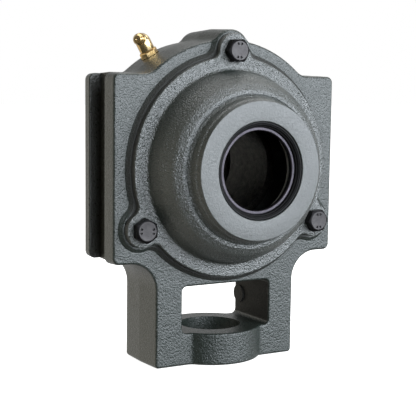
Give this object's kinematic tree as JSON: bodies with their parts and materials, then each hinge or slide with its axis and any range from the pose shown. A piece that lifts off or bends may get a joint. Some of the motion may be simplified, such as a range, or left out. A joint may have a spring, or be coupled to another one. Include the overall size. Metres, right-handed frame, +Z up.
{
  "type": "take up bearing unit",
  "caption": "Cast take up bearing unit with side guide grooves, a windowed tongue for the take up screw, a bolted open cover and a self-aligning insert bearing.",
  "frame": {"origin": "centre of the bearing, on the shaft's axis midway between the two faces of the casting", "axes": "+Z up, away from the tongue and along the guide grooves; +Y along the shaft's axis, towards the closed cover; +X to the right seen from the open cover"},
  "size_m": [0.117, 0.087, 0.1538],
  "materials": {
    "enamelled_iron": "grey green enamel on cast iron",
    "black_rubber": "matte",
    "zinc_steel": "satin",
    "dark_steel": "blackened",
    "bearing_steel": "ground and polished",
    "pressed_steel": "pressed sheet",
    "yellow_zinc": "bright"
  },
  "bodies": {
    "housing": {"housing": "enamelled_iron", "cover_front": "enamelled_iron", "cover_back": "enamelled_iron", "gasket_front": "black_rubber", "gasket_back": "black_rubber", "shaft_seal": "black_rubber", "seal_ring": "zinc_steel", "bolt_front_1": "dark_steel", "bolt_front_2": "dark_steel", "bolt_front_3": "dark_steel", "bolt_back_1": "dark_steel", "bolt_back_2": "dark_steel", "bolt_back_3": "dark_steel", "nipple_body": "yellow_zinc", "nipple_spring": "bearing_steel"},
    "stop_pin": {"stop_pin": "bearing_steel"},
    "outer_ring": {"outer_ring": "bearing_steel", "bearing_seal_front": "black_rubber", "bearing_seal_back": "black_rubber"},
    "inner_ring": {"inner_ring": "bearing_steel", "flinger_front": "zinc_steel", "flinger_back": "zinc_steel"},
    "cage": {"cage_front": "pressed_steel", "cage_back": "pressed_steel", "cage_rivet_1": "pressed_steel", "cage_rivet_2": "pressed_steel", "cage_rivet_3": "pressed_steel", "cage_rivet_4": "pressed_steel", "cage_rivet_5": "pressed_steel", "cage_rivet_6": "pressed_steel", "cage_rivet_7": "pressed_steel", "cage_rivet_8": "pressed_steel", "cage_rivet_9": "pressed_steel"},
    "nipple_ball": {"nipple_ball": "bearing_steel"},
    "ball_1": {"ball_1": "bearing_steel"},
    "ball_2": {"ball_2": "bearing_steel"},
    "ball_3": {"ball_3": "bearing_steel"},
    "ball_4": {"ball_4": "bearing_steel"},
    "ball_5": {"ball_5": "bearing_steel"},
    "ball_6": {"ball_6": "bearing_steel"},
    "ball_7": {"ball_7": "bearing_steel"},
    "ball_8": {"ball_8": "bearing_steel"},
    "ball_9": {"ball_9": "bearing_steel"}
  },
  "joints": [
    {"name": "stop_pin_swing", "type": "hinge", "parent": "housing", "child": "stop_pin", "pos_m": [0, 0, 0], "axis": [0, 0, 1], "range_deg": [-1, 1]},
    {"name": "outer_ring_tilt", "type": "hinge", "parent": "stop_pin", "child": "outer_ring", "pos_m": [0, 0, 0], "axis": [1, 0, 0], "range_deg": [-1, 1]},
    {"name": "inner_ring_spin", "type": "hinge", "parent": "outer_ring", "child": "inner_ring", "pos_m": [0, 0, 0], "axis": [0, 1, 0], "continuous": true},
    {"name": "cage_spin", "type": "hinge", "parent": "outer_ring", "child": "cage", "pos_m": [0, 0, 0], "axis": [0, 1, 0], "continuous": true},
    {"name": "ball_1_spin", "type": "hinge", "parent": "cage", "child": "ball_1", "pos_m": [0, 0, 0.03], "axis": [0, 1, 0], "continuous": true},
    {"name": "ball_2_spin", "type": "hinge", "parent": "cage", "child": "ball_2", "pos_m": [-0.01928, 0, 0.02298], "axis": [0, 1, 0], "continuous": true},
    {"name": "ball_3_spin", "type": "hinge", "parent": "cage", "child": "ball_3", "pos_m": [-0.02954, 0, 0.00521], "axis": [0, 1, 0], "continuous": true},
    {"name": "ball_4_spin", "type": "hinge", "parent": "cage", "child": "ball_4", "pos_m": [-0.02598, 0, -0.015], "axis": [0, 1, 0], "continuous": true},
    {"name": "ball_5_spin", "type": "hinge", "parent": "cage", "child": "ball_5", "pos_m": [-0.01026, 0, -0.02819], "axis": [0, 1, 0], "continuous": true},
    {"name": "ball_6_spin", "type": "hinge", "parent": "cage", "child": "ball_6", "pos_m": [0.01026, 0, -0.02819], "axis": [0, 1, 0], "continuous": true},
    {"name": "ball_7_spin", "type": "hinge", "parent": "cage", "child": "ball_7", "pos_m": [0.02598, 0, -0.015], "axis": [0, 1, 0], "continuous": true},
    {"name": "ball_8_spin", "type": "hinge", "parent": "cage", "child": "ball_8", "pos_m": [0.02954, 0, 0.00521], "axis": [0, 1, 0], "continuous": true},
    {"name": "ball_9_spin", "type": "hinge", "parent": "cage", "child": "ball_9", "pos_m": [0.01928, 0, 0.02298], "axis": [0, 1, 0], "continuous": true},
    {"name": "nipple_ball_slide", "type": "slide", "parent": "housing", "child": "nipple_ball", "axis": [0.7215, 0.6879, 0.079], "range_m": [0, 0.0005], "stiffness_N_per_m": 100, "springref_m": -0.0005, "deforming": ["nipple_spring"]}
  ],
  "couplings": [
    {"joint": "cage_spin", "follows": "inner_ring_spin", "ratio": 0.4},
    {"joint": "ball_1_spin", "follows": "inner_ring_spin", "ratio": -2.4},
    {"joint": "ball_2_spin", "follows": "inner_ring_spin", "ratio": -2.4},
    {"joint": "ball_3_spin", "follows": "inner_ring_spin", "ratio": -2.4},
    {"joint": "ball_4_spin", "follows": "inner_ring_spin", "ratio": -2.4},
    {"joint": "ball_5_spin", "follows": "inner_ring_spin", "ratio": -2.4},
    {"joint": "ball_6_spin", "follows": "inner_ring_spin", "ratio": -2.4},
    {"joint": "ball_7_spin", "follows": "inner_ring_spin", "ratio": -2.4},
    {"joint": "ball_8_spin", "follows": "inner_ring_spin", "ratio": -2.4},
    {"joint": "ball_9_spin", "follows": "inner_ring_spin", "ratio": -2.4}
  ]
}
